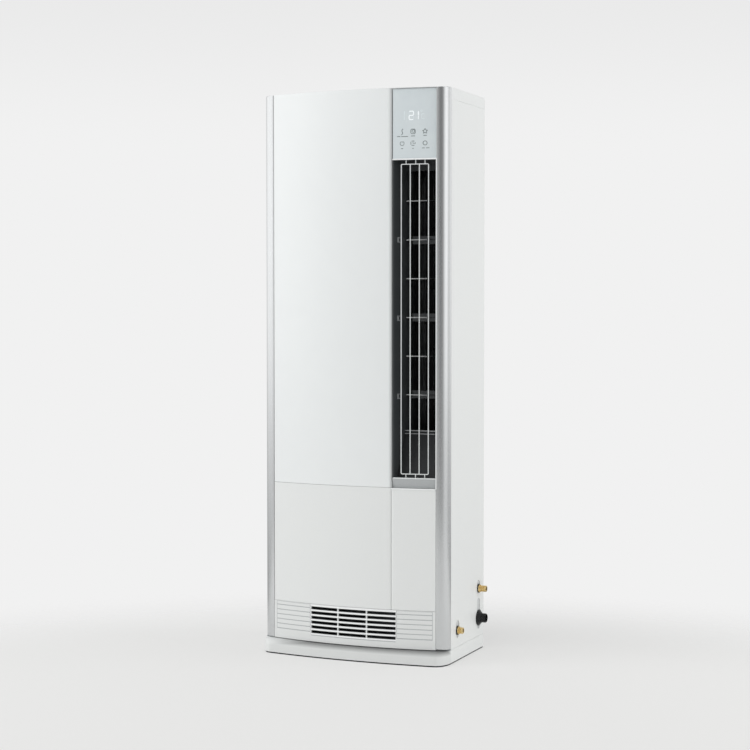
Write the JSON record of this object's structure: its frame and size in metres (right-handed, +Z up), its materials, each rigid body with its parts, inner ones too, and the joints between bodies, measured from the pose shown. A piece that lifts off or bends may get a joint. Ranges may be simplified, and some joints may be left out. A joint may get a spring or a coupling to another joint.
{
  "type": "floor standing air conditioner",
  "caption": "Tall slim indoor air conditioner cabinet with a bowed front, touch panel, full-height side outlet with guide blades, low intake grille and side pipe unions.",
  "frame": {"origin": "centre of the plinth's flat underside, on the floor", "axes": "+Z up, -Y out of the bowed front, +X to the viewer's right when facing the front"},
  "size_m": [0.668, 0.3945, 1.8],
  "materials": {
    "satin_white": "satin white moulded plastic",
    "gloss_white": "glossy white",
    "painted_steel": "white powder coat on steel sheet",
    "galvanised": "galvanised steel",
    "silver_trim": "silver paint, satin",
    "pale_glass": "pale grey glossy touch panel, printed behind",
    "grey_plastic": "mid grey plastic",
    "guard_light": "light grey plastic",
    "blade_grey": "light grey plastic",
    "dark_grey": "dark grey plastic",
    "black_plastic": "black plastic",
    "aluminium": "bare aluminium",
    "copper": "bare copper",
    "brass": "machined brass",
    "rubber_black": "black rubber or plastic",
    "board_green": "green circuit board",
    "filter_grey": "grey nylon net in a plastic frame"
  },
  "bodies": {
    "cabinet": {"plinth": "satin_white", "lower_front_panel_left": "satin_white", "lower_front_panel_right": "satin_white", "intake_grille": "satin_white", "rear_intake_grille": "satin_white", "upper_front_panel": "gloss_white", "left_side_panel": "painted_steel", "right_side_panel": "painted_steel", "top_cover": "painted_steel", "base_pan": "galvanised", "rear_panel": "galvanised", "fan_scroll": "galvanised", "fan_motor": "galvanised", "fan_top_bearing": "galvanised", "swing_motor": "galvanised", "partition_shelf": "galvanised", "front_frame": "galvanised", "electrical_box": "galvanised", "electrical_cover": "galvanised", "left_trim": "silver_trim", "right_trim": "silver_trim", "control_panel": "pale_glass", "outlet_sill": "grey_plastic", "service_plate": "grey_plastic", "outlet_guard": "guard_light", "duct_ramp": "dark_grey", "duct_brace_1": "dark_grey", "duct_brace_2": "dark_grey", "duct_brace_3": "dark_grey", "outlet_duct": "black_plastic", "display_housing": "black_plastic", "terminal_block": "black_plastic", "evaporator_fins": "aluminium", "capacitor": "aluminium", "evaporator_tube": "copper", "gas_pipe": "copper", "liquid_pipe": "copper", "upper_union": "brass", "lower_union": "brass", "drain_pan": "rubber_black", "drain_hose": "rubber_black", "upper_union_nut": "rubber_black", "lower_union_nut": "rubber_black", "drain_spigot": "rubber_black", "cable_gland": "rubber_black", "display_board": "board_green", "control_board": "board_green"},
    "blade_1": {"guide_blade_1": "blade_grey"},
    "blade_2": {"guide_blade_2": "blade_grey"},
    "blade_3": {"guide_blade_3": "blade_grey"},
    "blade_4": {"guide_blade_4": "blade_grey"},
    "blade_5": {"guide_blade_5": "blade_grey"},
    "blade_6": {"guide_blade_6": "blade_grey"},
    "blade_link_bar": {"blade_link": "dark_grey"},
    "vane_1": {"swing_vane_1": "black_plastic"},
    "vane_2": {"swing_vane_2": "black_plastic"},
    "vane_3": {"swing_vane_3": "black_plastic"},
    "vane_link_bar": {"vane_link": "black_plastic"},
    "rotor": {"fan_rotor": "black_plastic"},
    "filter": {"air_filter": "filter_grey"}
  },
  "joints": [
    {"name": "blade_1_tip", "type": "hinge", "parent": "cabinet", "child": "blade_1", "pos_m": [0.1442, -0.039, 1.455], "axis": [1, 0, 0], "range_deg": [-30, 30]},
    {"name": "blade_2_tip", "type": "hinge", "parent": "cabinet", "child": "blade_2", "pos_m": [0.1442, -0.039, 1.3321], "axis": [1, 0, 0], "range_deg": [-30, 30]},
    {"name": "blade_3_tip", "type": "hinge", "parent": "cabinet", "child": "blade_3", "pos_m": [0.1442, -0.039, 1.2092], "axis": [1, 0, 0], "range_deg": [-30, 30]},
    {"name": "blade_4_tip", "type": "hinge", "parent": "cabinet", "child": "blade_4", "pos_m": [0.1442, -0.039, 1.0863], "axis": [1, 0, 0], "range_deg": [-30, 30]},
    {"name": "blade_5_tip", "type": "hinge", "parent": "cabinet", "child": "blade_5", "pos_m": [0.1442, -0.039, 0.9634], "axis": [1, 0, 0], "range_deg": [-30, 30]},
    {"name": "blade_6_tip", "type": "hinge", "parent": "cabinet", "child": "blade_6", "pos_m": [0.1442, -0.039, 0.8405], "axis": [1, 0, 0], "range_deg": [-30, 30]},
    {"name": "blade_link_pivot", "type": "hinge", "parent": "blade_1", "child": "blade_link_bar", "pos_m": [0.152, -0.027, 1.455], "axis": [1, 0, 0], "range_deg": [-30, 30]},
    {"name": "vane_2_swing", "type": "hinge", "parent": "cabinet", "child": "vane_2", "pos_m": [0.1966, 0.003, 0.586], "axis": [0, 0, 1], "range_deg": [-30, 30]},
    {"name": "vane_1_swing", "type": "hinge", "parent": "cabinet", "child": "vane_1", "pos_m": [0.1626, 0.003, 0.586], "axis": [0, 0, 1], "range_deg": [-30, 30]},
    {"name": "vane_3_swing", "type": "hinge", "parent": "cabinet", "child": "vane_3", "pos_m": [0.2306, 0.003, 0.586], "axis": [0, 0, 1], "range_deg": [-30, 30]},
    {"name": "vane_link_pivot", "type": "hinge", "parent": "vane_2", "child": "vane_link_bar", "pos_m": [0.1966, 0.016, 1.564], "axis": [0, 0, 1], "range_deg": [-30, 30]},
    {"name": "fan_spin", "type": "hinge", "parent": "cabinet", "child": "rotor", "pos_m": [0.2048, 0.088, 0.589], "axis": [0, 0, 1], "continuous": true},
    {"name": "filter_slide", "type": "slide", "parent": "cabinet", "child": "filter", "axis": [-1, 0, 0], "range_m": [0, 0.39]}
  ],
  "couplings": [
    {"joint": "blade_2_tip", "follows": "blade_1_tip", "ratio": 1},
    {"joint": "blade_3_tip", "follows": "blade_1_tip", "ratio": 1},
    {"joint": "blade_4_tip", "follows": "blade_1_tip", "ratio": 1},
    {"joint": "blade_5_tip", "follows": "blade_1_tip", "ratio": 1},
    {"joint": "blade_6_tip", "follows": "blade_1_tip", "ratio": 1},
    {"joint": "blade_link_pivot", "follows": "blade_1_tip", "ratio": -1},
    {"joint": "vane_1_swing", "follows": "vane_2_swing", "ratio": 1},
    {"joint": "vane_3_swing", "follows": "vane_2_swing", "ratio": 1},
    {"joint": "vane_link_pivot", "follows": "vane_2_swing", "ratio": -1}
  ]
}
